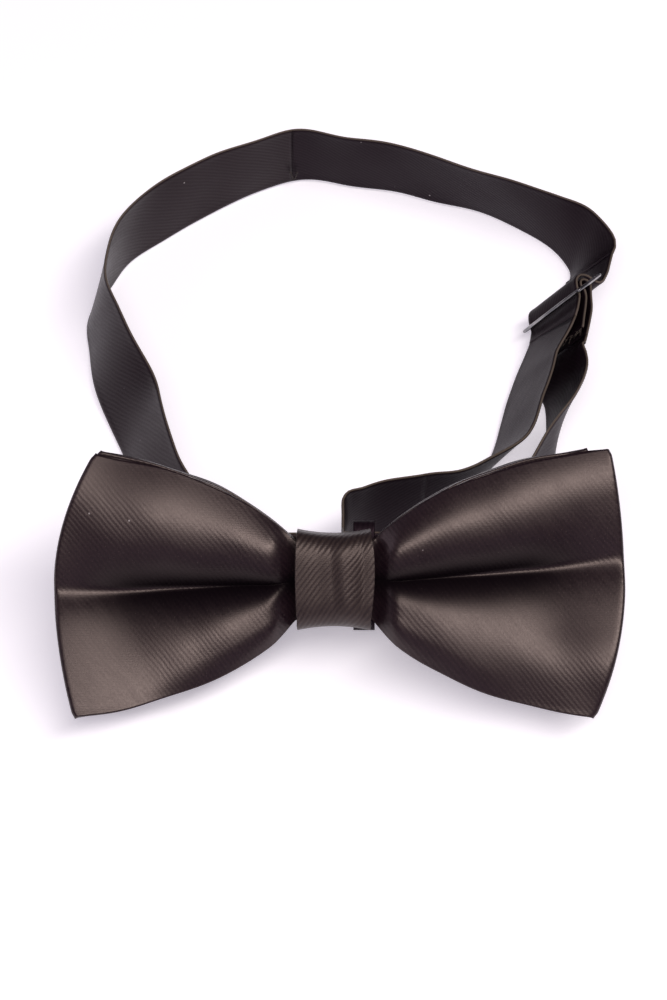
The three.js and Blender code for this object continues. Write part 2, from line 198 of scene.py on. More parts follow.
class Paint:
    # one material and its nodes
    def __init__(self, name, **uniform):
        self.material = bpy.data.materials.new(name)
        self.material.use_nodes = True
        self.tree = self.material.node_tree
        self.shader = self.tree.nodes["Principled BSDF"]
        for key, value in uniform.items():
            self.shader.inputs[key.replace("_", " ")].default_value = value

    def node(self, kind, settings=None, **inputs):
        made = self.tree.nodes.new(kind)
        for key, value in (settings or {}).items():
            setattr(made, key, value)
        for key, value in inputs.items():
            self.put(made.inputs[int(key[1:]) if key[1:].isdigit() else key.replace("_", " ")], value)
        return made

    def put(self, socket, value):
        if isinstance(value, Reading):
            value = value.socket
        if isinstance(value, bpy.types.NodeSocket):
            self.tree.links.new(value, socket)
        else:
            socket.default_value = value

    def maths(self, operation, *values):
        made = self.node("ShaderNodeMath", {"operation": operation})
        for socket, value in zip(made.inputs, values):
            self.put(socket, value)
        return Reading(self, made.outputs[0])

    def ramp(self, value, low, high):
        made = self.node("ShaderNodeMapRange", {"interpolation_type": "SMOOTHSTEP"}, Value=value)
        made.inputs["From Min"].default_value, made.inputs["From Max"].default_value = low, high
        return Reading(self, made.outputs[0])

    def cloth(self):
        made = self.node("ShaderNodeUVMap", {"uv_map": "cloth"})
        parts = self.node("ShaderNodeSeparateXYZ", Vector=made.outputs[0])
        return Reading(self, parts.outputs[0]), Reading(self, parts.outputs[1])

    def place(self):
        return self.node("ShaderNodeTexCoord").outputs["Object"]

    def noise(self, scale, detail=2.0, vector=None):
        made = self.node("ShaderNodeTexNoise", Vector=vector or self.place(), Scale=scale, Detail=detail)
        return Reading(self, made.outputs[0])

    def vector(self, x, y, z=0.0):
        made = self.node("ShaderNodeCombineXYZ", X=x, Y=y, Z=z)
        return made.outputs[0]

    def mix(self, factor, one, other):
        made = self.node("ShaderNodeMix", {"data_type": "RGBA"}, Factor=factor)
        self.put(made.inputs[6], one)
        self.put(made.inputs[7], other)
        return made.outputs[2]

    def bump(self, height, distance, strength=1.0, normal=None):
        made = self.node("ShaderNodeBump", Height=height, Distance=distance, Strength=strength)
        if normal is not None:
            self.put(made.inputs["Normal"], normal)
        return made.outputs[0]

    def shade(self, name, share):
        # mixes in plain dull black by a per-point attribute: painted shade
        dull = self.node("ShaderNodeBsdfDiffuse", Color=(0.003, 0.002, 0.003, 1))
        where = self.node("ShaderNodeAttribute", {"attribute_name": name})
        factor = Reading(self, where.outputs["Fac"]) * share
        made = self.node("ShaderNodeMixShader", _0=factor, _1=self.shader.outputs[0], _2=dull.outputs[0])
        self.tree.links.new(made.outputs[0], self.tree.nodes["Material Output"].inputs["Surface"])

    def finish(self, **links):
        for key, value in links.items():
            self.put(self.shader.inputs[key.replace("_", " ")], value)
        return self.material


# satin
satinLook = {
    "dark": (0.0048, 0.0018, 0.0044, 1),
    "light": (0.0140, 0.0068, 0.0100, 1),
    "ribPitch": 0.92,  # from one twill rib to the next
    "ribHeight": 0.024,
    "ribShare": 1.0,
    "roughness": 0.35,
    "gloss": 0.55,
    "tint": (1.0, 0.84, 0.80, 1),
    "speck": 0.55,
    "edge": 0.0,
    "lint": 0.55,
    # strength of the painted shade along the bow's crease
    "painted_crease_shade": 0.9,
}
# the knot's lighter weave colour is painted light: a lit copy of the bow's satin
knotLook = dict(
    satinLook, painted_crease_shade=0, ribHeight=0.055, ribShare=1.3, gloss=0.5, roughness=0.42,
    light=(0.032, 0.022, 0.020, 1),
)
# edge sets the strength of the painted highlight along the strap's folded edges
strapLook = dict(
    satinLook, painted_crease_shade=0, dark=(0.0042, 0.0021, 0.0040, 1), light=(0.0095, 0.0052, 0.0082, 1), roughness=0.44,
    gloss=0.12, tint=(1.0, 0.70, 0.88, 1), edge=0.6, ribHeight=0.026, speck=0.12,
)
strapLeftLook = dict(strapLook, gloss=0.2, tint=(1.0, 0.76, 0.80, 1), roughness=0.38, ribHeight=0.034)


def lintMask(paint, scale, share):
    # a few pale specks of lint: the middle of some cells of a Voronoi pattern
    cells = paint.node("ShaderNodeTexVoronoi", {"feature": "F1"}, Vector=paint.place(), Scale=scale)
    chance = paint.node("ShaderNodeSeparateColor", Color=cells.outputs["Color"])
    near = Reading(paint, cells.outputs["Distance"])
    chosen = Reading(paint, chance.outputs[0]).above(1 - share)
    return (1 - near.ramp(0.03, 0.07)) * chosen


def makeSatin(name, ribAngle, look, edgeAt=None):
    # diagonal twill ribs in the cloth's own UV, crossed by fine weft floats, on a near-black lustrous ground.
    # The ribs are relief more than colour, so they show where the light falls away.
    paint = Paint(name, Specular_IOR_Level=look["gloss"], Specular_Tint=look["tint"])
    along, across = paint.cloth()
    turn = math.radians(ribAngle)
    pitch = look["ribPitch"] * mm
    sway = (paint.noise(110.0, 3.0) - 0.5) * 0.0011
    ribPlace = along * math.cos(turn) + across * math.sin(turn) + sway
    crossing = along * -math.sin(turn) + across * math.cos(turn)
    ribs = (ribPlace * (tau / pitch)).sine() * 0.5 + 0.5
    weft = (across * (tau / 0.00034) + ribs * 1.3).sine() * 0.5 + 0.5
    grain = paint.noise(1.0, 3.0, paint.vector(along * 3600.0, across * 1500.0, 0.0))
    slub = paint.noise(1.0, 2.0, paint.vector(ribPlace * 700.0, crossing * 160.0, 3.0))
    fibre = paint.noise(5200.0, 2.0)
    broad = paint.noise(28.0, 3.0)
    worn = (ribs * 0.40 + slub * 0.35 + grain * 0.45).ramp(0.25, 0.95)
    colour = paint.mix((worn * 0.7 + broad * 0.35).least(1.0), look["dark"], look["light"])
    speck = (fibre.ramp(0.60, 0.78) * grain.ramp(0.45, 0.75)).least(1.0)
    colour = paint.mix(speck * look["speck"], colour, (0.22, 0.175, 0.16, 1))
    # painted highlight: the strap's folded edges drawn lighter, standing in for the satin's sheen over the fold
    if edgeAt:
        edge = (across.size() - edgeAt * mm).ramp(-0.0003, 0.0)
        colour = paint.mix(edge * look["edge"], colour, (0.17, 0.14, 0.115, 1))
    lint = lintMask(paint, 240.0, 0.09)
    colour = paint.mix(lint * look["lint"], colour, (0.6, 0.55, 0.56, 1))
    roughness = look["roughness"] + (grain - 0.5) * 0.22 + (slub - 0.5) * 0.10
    roughness = roughness + (broad - 0.5) * 0.08 + lint * 0.3
    height = ribs * 0.6 * look["ribShare"] + weft * 0.16 + grain * 0.45 + slub * 0.30 + fibre * 0.22
    normal = paint.bump(height, look["ribHeight"] * mm, 0.9)
    if look["painted_crease_shade"]:
        # painted shade: dull black mixed in along the crease, where the relief is too shallow to shade itself
        paint.shade("painted_crease_shade", look["painted_crease_shade"])
    return paint.finish(Base_Color=colour, Roughness=roughness, Normal=normal)


satinBow = makeSatin("satin_bow", 40, satinLook)
satinKnot = makeSatin("satin_knot", 40, knotLook)
satinStrap = makeSatin("satin_strap", 60, strapLook, edgeAt=9.35)
satinStrapLeft = makeSatin("satin_strap_left", 60, strapLeftLook, edgeAt=9.35)
print("satin made")


# bows
bow = {
    "halfWidth": 60.5,
    "leftReach": 59.0,
    "rightReach": 61.2,
    "lowered": 0.9,  # how much further the lower half hangs than the upper rises
    "tipHalfHeight": 28.2,
    "edgeHalfHeight": 8.4,
    "waistHalfHeight": 6.5,
    "knotEdge": 8.3,
    "flareLength": 24.0,
    "layerPitch": 1.6,
    "clothThickness": 0.75,
    "columns": 150,
    "rows": 110,
    "leftTop": 8.5,
    "leftBottom": 4.5,
    "rightTop": 3.0,
    "rightBottom": 6.5,
}
frontBow = {
    "centre": 0.3, "leftIn": 0.0, "rightIn": 0.0, "taller": 0.0, "puff": 1.0, "pleat": 0.25,
    "backSag": 1.6, "frontSag": 0.0, "seed": 3,
}
rearBow = {
    "centre": -2.9, "leftIn": 0.9, "rightIn": 4.5, "taller": 0.6, "puff": 0.0, "pleat": 0.0,
    "backSag": 2.1, "frontSag": 1.6, "seed": 8,
}


def wingHalfHeight(x, taller):
    # low and nearly level under the knot, then flaring quickly and levelling out to the tip
    reach = np.abs(x)
    rise = bow["edgeHalfHeight"] - bow["waistHalfHeight"]
    waist = bow["waistHalfHeight"] + rise * (reach / bow["knotEdge"]) ** 2
    fall = lambda length: 1 - np.exp(-length / bow["flareLength"])
    share = fall(np.maximum(reach - bow["knotEdge"], 0)) / fall(bow["halfWidth"] - bow["knotEdge"])
    flared = bow["edgeHalfHeight"] + (bow["tipHalfHeight"] + taller - bow["edgeHalfHeight"]) * share
    return np.where(reach < bow["knotEdge"], waist, flared)


def frontRelief(x, row, up, kind):
    # The face is drawn by how far it turns up or down at each height, then summed from the lower edge.
    # t runs 0..1 from the crease to the upper edge, d from the crease to the lower edge. Above the
    # crease the cloth turns down and then up over the lobe; below it, up and then down.
    share, right, bend = creaseBend(x)
    near = np.exp(-share / 0.20)
    flat = smoothStep(0.50, 1.05, share)
    t = np.clip((row - bend) / (1 - bend), 0, 1)
    d = np.clip((bend - row) / (1 + bend), 0, 1)
    crest = 0.30 * near + 0.46 * (1 - near) + 0.12 * flat
    down = (0.95 + 0.35 * near) * (1 - 0.80 * flat)
    top = (0.50 + 0.75 * near) * (1 - 0.55 * flat * (1 - right) - 0.20 * flat * right)
    upper = np.where(t < crest, -down * (1 - t / crest) ** 1.3, top * ((t - crest) / (1 - crest)) ** 1.1)
    crestLow = 0.40 * near + 0.78 * (1 - near) + 0.40 * flat
    rise = (1.15 + 0.20 * near) * (1 - 0.72 * flat)
    bottom = (0.30 + 0.45 * near) * (1 - flat)
    fall = np.clip((d - crestLow) / np.maximum(1 - crestLow, 0.05), 0, 1)
    lower = np.where(d < crestLow, rise * np.clip(1 - d / crestLow, 0, 1) ** 1.9, -bottom * fall)
    settled = 0.30 + 0.55 * np.exp(-d / 0.11) - 0.34 * right * smoothStep(0.42, 0.85, d)
    tipward = smoothStep(0.15, 0.85, share)
    lower = lower * (1 - tipward) + settled * tipward
    sharp = 0.012 + 0.10 * share ** 1.5
    blend = smoothStep(-1, 1, (row - bend) / sharp)
    slope = (upper * blend + lower * (1 - blend)) * smoothStep(-0.02, 0.02, share)
    # a short pinch on each lobe beside the knot
    pinch = np.sin(row * 9.0 + 0.8) * (1 - row ** 2)
    slope = slope + kind["pleat"] * near * smoothStep(0, 0.04, share) * pinch
    step = np.diff(up, axis=1) * (slope[:, 1:] + slope[:, :-1]) / 2
    height = -np.concatenate([np.zeros_like(up[:, :1]), np.cumsum(step, axis=1)], axis=1)
    lift = np.maximum(-height[:, -1:], 0) + 0.1
    puffed = (height + lift) * kind["puff"]
    return puffed * smoothStep(-0.01, 0.10, share)


def creaseBend(x):
    # where the crease crosses each column, rising to the right tip and dropping a little to the left
    share = np.clip((np.abs(x) - bow["knotEdge"]) / (bow["halfWidth"] - bow["knotEdge"]), 0, 1)
    right = smoothStep(-1, 1, x)
    return share, right, (0.02 + 0.13 * share) * right - (0.02 + 0.07 * share) * (1 - right)


def paintedCreaseShade(x, row):
    # painted shade along the crease: how much dull black is mixed in, a bell across it, wider below, fading before
    # the tip
    share, right, bend = creaseBend(x)
    away = row - bend
    bell = np.where(away > 0, np.exp(-((away / 0.23) ** 2)), np.exp(-((away / 0.28) ** 2)))
    fold = np.exp(-((away / 0.022) ** 2)) * smoothStep(0.25, 0.5, share)
    return bell * (1 - fold) * smoothStep(0.97, 0.62, share) * np.ones_like(row)


def sagRelief(x, row, depth):
    share = np.clip((np.abs(x) - bow["knotEdge"]) / (bow["halfWidth"] - bow["knotEdge"]), 0, 1)
    return -depth * np.sin(np.pi * share) * (1 - row ** 2)


def makeBow(name, kind):
    # a strip carried round a flat loop: front layer, fold at the right tip, back layer, left fold.
    # station runs -1..1 along each layer; turn goes from 90 degrees in front to -90 behind.
    count = bow["columns"]
    ends = np.sin(np.linspace(-np.pi / 2, np.pi / 2, count))
    level = np.linspace(-1, 1, count)
    steps = 0.55 * level + 0.45 * ends
    folds = np.linspace(90, -90, 9)[1:-1]
    station = np.concatenate([steps, np.ones(7), steps[::-1], -np.ones(7)])[:, None]
    turn = np.radians(np.concatenate([np.full(count, 90), folds, np.full(count, -90), folds[::-1]]))[:, None]
    crowded = np.sin(np.linspace(-np.pi / 2, np.pi / 2, bow["rows"]))
    row = (crowded * 0.25 + np.linspace(-1, 1, bow["rows"]) * 0.75)[None, :]
    inset = np.where(
        station < 0,
        np.where(row > 0, bow["leftTop"], bow["leftBottom"]),
        np.where(row > 0, bow["rightTop"], bow["rightBottom"]),
    )
    corner = np.abs(row) ** 1.8 * inset + 0.35 * smoothStep(0.95, 1.0, np.abs(row))
    leftTip, rightTip = bow["leftReach"] - kind["leftIn"], bow["rightReach"] - kind["rightIn"]
    tip = np.where(station < 0, leftTip, rightTip) - corner
    part = np.abs(station)
    share = 1 / 6
    reach = np.where(
        part <= share,
        bow["knotEdge"] * part / share,
        bow["knotEdge"] + (tip - bow["knotEdge"]) * (part - share) / (1 - share),
    )
    x = np.sign(station) * reach
    half = bow["layerPitch"] / 2 * (1 - 0.45 * smoothStep(0.6, 1.0, part))
    front = (np.sin(turn) + 1) / 2
    face = frontRelief(x, row, row * wingHalfHeight(x, kind["taller"]), kind) if kind["puff"] else 0
    lift = (face + sagRelief(x, row, kind["frontSag"])) * front
    lift = lift + (sagRelief(x, row, kind["backSag"]) + face * smoothStep(0.5, 1.0, part)) * (1 - front)
    out = kind["centre"] + half * np.sin(turn) + lift
    fold = half * np.cos(turn) * np.sign(station)
    height = wingHalfHeight(x, kind["taller"])
    up = row * height - bow["lowered"] * smoothStep(8, 14, np.abs(x)) * (1 - row) / 2
    sway = 0.25 * wander(x + 30 * front, (31, 17), kind["seed"])
    up = up + sway * np.abs(row) * smoothStep(12, 25, np.abs(x))
    ripple = 0.16 * wander(x * 1.0 + up * 0.6, (23, 13), kind["seed"] + 1) * smoothStep(10, 22, np.abs(x))
    points = bowToFrame(x + fold, out + ripple * front, up)
    along = x + np.where(front > 0.5, 0, 130)
    thing = gridMesh(name, points, up, along, wrapAlong=True)
    # painted shade along the crease of the front layer, kept as a per-point attribute
    painted_crease_shade = thing.data.attributes.new("painted_crease_shade", "FLOAT", "POINT")
    painted_crease_shade.data.foreach_set("value", (paintedCreaseShade(x, row) * front * kind["puff"]).astype(np.float32).ravel())
    useModifier(thing, "SOLIDIFY", thickness=bow["clothThickness"] * mm, offset=0)
    thing.data.materials.append(satinBow)
    return thing


frontPiece = makeBow("front_bow_satin", frontBow)
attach(frontPiece, "bow")
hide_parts("front_bow")

rearPiece = makeBow("rear_bow_satin", rearBow)
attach(rearPiece, "bow")
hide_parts("rear_bow")
print("bows made")


# knot wrap and keeper
knot = {
    "halfWidth": 8.0, "halfHeight": 9.0, "flare": 0.9, "halfDepth": 5.4, "cloth": 0.9,
    "pleatAt": 1.9, "pleatDepth": 0.55, "sides": 260, "stations": 90,
}


def roundedSection(sides, high, deep, squareness=0.5):
    # a rounded box drawn as |cos|^q, |sin|^q, its points spread evenly along the outline
    angle = np.linspace(0, tau, 6001)
    soft = lambda value: np.sign(value) * np.abs(value) ** squareness
    up, out = soft(np.cos(angle)), soft(np.sin(angle))
    length = np.append(0, np.cumsum(np.hypot(np.diff(up * high), np.diff(out * deep))))
    even = (np.arange(sides) + 0.5) / sides * length[-1]
    return np.interp(even, length, up)[:, None], np.interp(even, length, out)[:, None], even[:, None]


def makeKnot():
    # a rounded box section carried across the bow, its edges flaring, with one soft lengthwise pleat
    upShape, outShape, around = roundedSection(knot["sides"], knot["halfHeight"], knot["halfDepth"])
    x = np.linspace(-1, 1, knot["stations"])[None, :] * knot["halfWidth"]
    high = knot["halfHeight"] + knot["flare"] * (x / knot["halfWidth"]) ** 2
    deep = knot["halfDepth"] + 0.35 * np.cos(x / knot["halfWidth"] * 1.2)
    up = high * upShape
    out = stackMiddle + deep * outShape
    face = smoothStep(0.55, 0.98, outShape)
    place = x - knot["pleatAt"] + 0.5 * np.sin(up / 7)
    step = knot["pleatDepth"] * (smoothStep(-2.4, 0.6, place) - smoothStep(0.8, 4.5, place) * 0.9)
    dent = 0.12 * np.exp(-(((x + 3.2 + 0.04 * up) / 1.7) ** 2)) + 0.2 * np.exp(-(((x - 5.6) / 1.1) ** 2))
    out = out + face * (step - dent)
    sway = 0.3 * np.sin(up / 5.5 + 0.6) + 0.45 * (1 - (up / knot["halfHeight"]) ** 2)
    x = x + sway * smoothStep(0.2, 1.0, np.abs(x) / knot["halfWidth"]) * np.where(x > 0, 1, -0.4) * face
    points = bowToFrame(x, out, up)
    around = np.broadcast_to(around, points.shape[:2])
    thing = gridMesh("knot_wrap_satin", points, around, x, wrapAlong=True)
    useModifier(thing, "SOLIDIFY", thickness=knot["cloth"] * mm, offset=-1)
    thing.data.materials.append(satinKnot)
    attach(thing, "bow")
    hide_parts("knot_wrap")


makeKnot()

keeper = {"from": 4.2, "width": 4.6, "cloth": 0.8, "slack": 0.8, "gap": 0.3, "sides": 96, "stations": 12}
strap = {"width": 19.0, "thickness": 0.8}
wrapBack = stackMiddle - 5.4


def makeKeeper():
    # a flat band carried round the strap behind the knot
    halfDepth = keeper["cloth"] + keeper["gap"] + strap["thickness"] / 2 + keeper["slack"]
    halfHeight = strap["width"] / 2 + keeper["slack"] + keeper["cloth"]
    middle = wrapBack - keeper["gap"] - halfDepth
    upShape, outShape, around = roundedSection(keeper["sides"], halfHeight, halfDepth)
    x = keeper["from"] + keeper["width"] * np.linspace(0, 1, keeper["stations"])[None, :]
    points = bowToFrame(x, middle + halfDepth * outShape + 0 * x, halfHeight * upShape + 0 * x)
    shape = points.shape[:2]
    thing = gridMesh(
        "keeper_loop_satin", points,
        np.broadcast_to(x - keeper["from"], shape), np.broadcast_to(around, shape),
        wrapAlong=True,
    )
    useModifier(thing, "SOLIDIFY", thickness=keeper["cloth"] * mm, offset=-1)
    thing.data.materials.append(satinStrap)
    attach(thing, "bow")
    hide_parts("keeper_loop")


makeKeeper()
print("knot made")


# strap
heading = np.array([0.24, 0.97, 0.0])
heading = heading / np.linalg.norm(heading)
outwards = np.array([heading[1], -heading[0], 0])
sliderLean = math.radians(35)
sliderTilt = math.radians(27)
barPitch = 5.0
sliderAcross = np.array([0, 0, math.cos(sliderLean)]) + outwards * math.sin(sliderLean)
sliderOut = -np.cross(heading, sliderAcross)
ringMiddle = np.array([4.0, 72.0])
tableClearance = 0.3
bowUp = np.array([0, math.sin(lean), math.cos(lean)])


def standing(x, y, degrees, inward, raised=0.0):
    # the strap on its lower edge, its top leaning towards inward
    turn = math.radians(degrees)
    inward = np.append(np.asarray(inward, float), 0)
    width = np.array([0, 0, math.cos(turn)]) + inward * math.sin(turn)
    half = strap["width"] / 2 * math.cos(turn) + strap["thickness"] / 2 * abs(math.sin(turn))
    return np.append(np.array([x, y, half + tableClearance + raised]) + origin, width)


def onRing(x, y, degrees, raised=0.0):
    inward = ringMiddle - (x, y)
    return standing(x, y, degrees, inward / np.linalg.norm(inward), raised)


def atSlider(along, out):
    return np.append(sliderMiddle + heading * along + sliderOut * out, sliderAcross)


def byFarBar(along, out):
    return atSlider(barPitch * math.cos(sliderTilt) + along, -barPitch * math.sin(sliderTilt) + out)


def byNearBar(along, out):
    return atSlider(-barPitch * math.cos(sliderTilt) + along, barPitch * math.sin(sliderTilt) + out)


def behindKnot(x, out):
    return np.append(bowToFrame(x, out, 0), bowUp)


sewnOut = wrapBack - 0.3 - strap["thickness"] / 2
keeperOut = wrapBack - 0.3 - (keeper["cloth"] + 0.3 + strap["thickness"] / 2 + keeper["slack"])
back = (0, 1)
side = (outwards[0], outwards[1])

# the whole strap from its sewn end to its cut end, as listed stations
sewnStations = [
    behindKnot(-0.5, sewnOut), behindKnot(-8, sewnOut), behindKnot(-15.5, sewnOut),
    behindKnot(-18.8, sewnOut),
]
leftStations = [
    onRing(-30, 21, 34, 2.5), onRing(-37.7, 36, 31), onRing(-43.2, 54, 31), onRing(-48.3, 70, 34),
    onRing(-53, 84, 25), onRing(-55, 97, 14), onRing(-50.5, 111, 2), onRing(-40, 122.8, -3), onRing(-26, 133.6, 1),
    onRing(-10, 141, 5),
]
rightStations = [
    onRing(4, 139.2, 7), onRing(18, 135.6, 9), onRing(32, 130.5, 12), onRing(44, 124.3, 9),
    onRing(53, 118.2, -1), onRing(58.4, 113, -16), atSlider(17, -4.4), atSlider(14, -4.45),
]
innerStations = [
    atSlider(11, -4.5), atSlider(8, -4.55), byFarBar(1.35, -2.0), byFarBar(-0.05, -1.7),
    byFarBar(-1.15, -0.95),
    byFarBar(-1.55, 0.05), atSlider(2.85, -1.0), atSlider(2.8, 0.2), atSlider(2.3, 1.4), atSlider(1.4, 2.25),
    atSlider(0, 2.65), atSlider(-1.5, 2.3), byNearBar(1.75, -0.6), byNearBar(0.55, -1.42),
    byNearBar(-0.75, -1.67),
    byNearBar(-4.5, -1.87), onRing(46.5, 74, -33, 1.0), onRing(43.2, 62, -33), onRing(39, 48, -30),
    onRing(31, 39, -18), onRing(20, 33.5, -4),
]
bightStations = [
    standing(11, 31, 0, back), standing(5.8, 30.2, -8, back), standing(3.0, 28.4, -5, back),
    standing(2.1, 25.5, 0, back),
    standing(2.0, 20, 0, back, 1), standing(2.0, 14, 20, back, 2), behindKnot(2.3, keeperOut - 1.8),
    behindKnot(2.8, keeperOut - 0.5), behindKnot(3.7, keeperOut), behindKnot(6.5, keeperOut),
    behindKnot(9.2, keeperOut), behindKnot(12.3, keeperOut - 0.9), standing(19, 14.5, 20, back, 3),
]
outerStations = [
    standing(30, 22, 8, back, 1), standing(41, 33, 0, back), standing(48.5, 46, -4, side),
    standing(51.5, 58, 18, side), standing(53, 68, 30, side, 1), atSlider(-17, -3.9), atSlider(-13, -3.7),
]
foldStations = [
    atSlider(-9, -3.5), atSlider(-5, -3.1), atSlider(-2.2, -2.2), atSlider(0, -1.5), atSlider(1.06, -1.06),
    atSlider(1.5, 0), atSlider(1.06, 1.06), atSlider(0, 1.5), atSlider(-1.1, 1.0), atSlider(-1.5, 0.1),
    atSlider(-2.8, -0.8), atSlider(-5, -1.3), atSlider(-9, -1.8), atSlider(-12, -2.2),
]
groups = [sewnStations + leftStations, rightStations, innerStations, bightStations, outerStations, foldStations]
stations = np.array([station for group in groups for station in group])
breaks = np.cumsum([len(group) for group in groups]) - 1


def throughStations(table, places):
    # centripetal Catmull-Rom: each span's slopes come from its neighbours,
    # weighted by the root of the distance
    padded = np.vstack([2 * table[0] - table[1], table, 2 * table[-1] - table[-2]])
    apart = np.linalg.norm(np.diff(padded[:, :3], axis=0), axis=1) ** 0.5
    span = np.clip(places.astype(int), 0, len(table) - 2)
    share = (places - span)[:, None]
    p0, p1, p2, p3 = (padded[span + shift] for shift in range(4))
    d0, d1, d2 = (np.maximum(apart[span + shift], 1e-6)[:, None] for shift in range(3))
    slope1 = ((p1 - p0) / d0 - (p2 - p0) / (d0 + d1) + (p2 - p1) / d1) * d1
    slope2 = ((p2 - p1) / d1 - (p3 - p1) / (d1 + d2) + (p3 - p2) / d2) * d1
    s2, s3 = share ** 2, share ** 3
    start = (2 * s3 - 3 * s2 + 1) * p1 + (s3 - 2 * s2 + share) * slope1
    return start + (3 * s2 - 2 * s3) * p2 + (s3 - s2) * slope2


strapWave = {"step": 1.1, "sway": 0.55, "ruffle": 0.45, "lift": 0.5, "sides": 26}


def measureStrap():
    # sample the whole strap at about one step, and keep where each piece begins
    lengths = np.linalg.norm(np.diff(stations[:, :3], axis=0), axis=1)
    places, marks = [], []
    for number, length in enumerate(lengths):
        count = max(3, int(round(length / strapWave["step"])))
        marks.append(len(places))
        places.extend((number + np.arange(count) / count).tolist())
    marks.append(len(places))
    places.append(len(lengths))
    table = throughStations(stations, np.array(places, float))
    return table[:, :3], table[:, 3:], marks


centres, widths, marks = measureStrap()
tangents = np.gradient(centres, axis=0)
tangents /= np.linalg.norm(tangents, axis=1)[:, None]
widths = widths - (widths * tangents).sum(1)[:, None] * tangents
widths /= np.linalg.norm(widths, axis=1)[:, None]
faces = np.cross(widths, tangents)
distance = np.append(0, np.cumsum(np.linalg.norm(np.diff(centres, axis=0), axis=1)))


def freeShare(start, end, ease=14.0):
    # 1 along a free stretch of the strap, 0 near its ends
    return smoothStep(start, start + ease, distance) * (1 - smoothStep(end - ease, end, distance))


loose = freeShare(distance[marks[3]], distance[marks[19]])  # the ring
loose = loose + freeShare(distance[marks[38]], distance[marks[42]], 8)  # the slack behind the knot
centres = centres + faces * (strapWave["sway"] * loose * wander(distance, (37, 23, 61), 5))[:, None]
centres[:, 2] += strapWave["lift"] * loose * (1 + wander(distance, (41, 29), 11)) * 0.5
print("strap measured, %.0f mm" % distance[-1])


def makeStrap(name, first, last, bodies=None, body=None, replaced=(), cloth=satinStrap):
    # a flat folded band: a thin rounded section, a little fuller along its two folded edges
    reach = slice(marks[first], marks[last] + 1)
    sides = strapWave["sides"]
    place = np.sin(np.linspace(-np.pi / 2, np.pi / 2, sides)) * 0.45 + np.linspace(-1, 1, sides) * 0.55
    plump = 0.80 + 0.20 * np.exp(-(((np.abs(place) - 0.93) / 0.06) ** 2)) + 0.06 * np.cos(place * 3)
    thin = plump * np.sqrt(np.clip(1 - np.abs(place) ** 40, 0, 1)) + 0.02
    acrossSide = np.concatenate([place, place[::-1]]) * strap["width"] / 2
    lift = np.concatenate([thin, -thin[::-1]]) * strap["thickness"] / 2
    length = distance[reach][:, None]
    free = loose[reach][:, None]
    edge = (np.abs(acrossSide) / (strap["width"] / 2)) ** 2
    ruffle = strapWave["ruffle"] * free * edge * wander(length + 40 * np.sign(acrossSide), (26, 17, 44), 21)
    points = (
        centres[reach][:, None]
        + widths[reach][:, None] * acrossSide[None, :, None]
        + faces[reach][:, None] * (lift[None, :] + ruffle)[:, :, None]
    )
    thing = gridMesh(
        name, points,
        np.broadcast_to(acrossSide, points.shape[:2]), np.broadcast_to(length, points.shape[:2]),
        wrapAcross=True, flip=True, caps=True,
    )
    thing.data.materials.append(cloth)
    if bodies:
        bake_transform(thing)
    else:
        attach(thing, body)
    for node in replaced:
        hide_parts(node)
    return thing


makeStrap("neck_strap_left", 0, breaks[0], ("bow", "neck_strap"),
          replaced=("sewn_band_end",), cloth=satinStrapLeft)
makeStrap("neck_strap_right", breaks[0], breaks[1], ("neck_strap", "strap_end"),
          replaced=("neck_band",))
# the top of the turn over the centre bar, and where it leaves the slider
woven = [breaks[1] + 10, breaks[1] + 16]
makeStrap("adjusting_strap_far_turn", breaks[1], woven[0], ("strap_end", "slider"))
makeStrap("adjusting_strap_near_turn", woven[0], woven[1], ("slider", "strap_end"))
makeStrap("adjusting_strap_inner", woven[1], breaks[2], ("neck_strap", "strap_end"),
          replaced=("adjusting_strap",))
makeStrap("strap_bight", breaks[2], breaks[3], ("bow", "neck_strap"))
makeStrap("adjusting_strap_outer", breaks[3], breaks[4], ("neck_strap", "strap_end"))
makeStrap("strap_end_fold_satin", breaks[4], breaks[5], body="strap_end", replaced=("strap_end_fold",))
print("strap made")


# slider, threads and frayed end
def tubes(name, paths, radius, sides=8, closed=False, flatness=1.0, flatWay=None):
    # paths is tubes x steps x 3; each carries a round or flattened section square to its path
    ahead = np.gradient(paths, axis=1) if not closed else np.roll(paths, -1, 1) - np.roll(paths, 1, 1)
    ahead = ahead / np.linalg.norm(ahead, axis=2)[:, :, None]
    guide = np.broadcast_to(np.array([0.31, 0.52, 0.79]) if flatWay is None else flatWay, paths.shape)
    first = guide - (guide * ahead).sum(2)[:, :, None] * ahead
    first = first / np.linalg.norm(first, axis=2)[:, :, None]
    second = np.cross(ahead, first)
    angle = np.arange(sides) / sides * tau
    radius = np.broadcast_to(radius, paths.shape[:2])[:, :, None, None]
    ring = first[:, :, None] * np.cos(angle)[:, None] * flatness + second[:, :, None] * np.sin(angle)[:, None]
    points = paths[:, :, None] + radius * ring
    count, steps = paths.shape[:2]
    number = np.arange(count * steps * sides).reshape(count, steps, sides)
    here, beyond = (number, np.roll(number, -1, 1)) if closed else (number[:, :-1], number[:, 1:])
    quads = np.stack([here, np.roll(here, -1, 2), np.roll(beyond, -1, 2), beyond], -1).reshape(-1, 4)
    faces = quads.tolist()
    if not closed:
        faces += number[:, 0, ::-1].tolist() + number[:, -1].tolist()
    mesh = bpy.data.meshes.new(name)
    mesh.from_pydata((points.reshape(-1, 3) * mm).tolist(), [], faces)
    mesh.polygons.foreach_set("use_smooth", np.ones(len(mesh.polygons), bool))
    mesh.update()
    thing = bpy.data.objects.new(name, mesh)
    bpy.context.collection.objects.link(thing)
    return thing


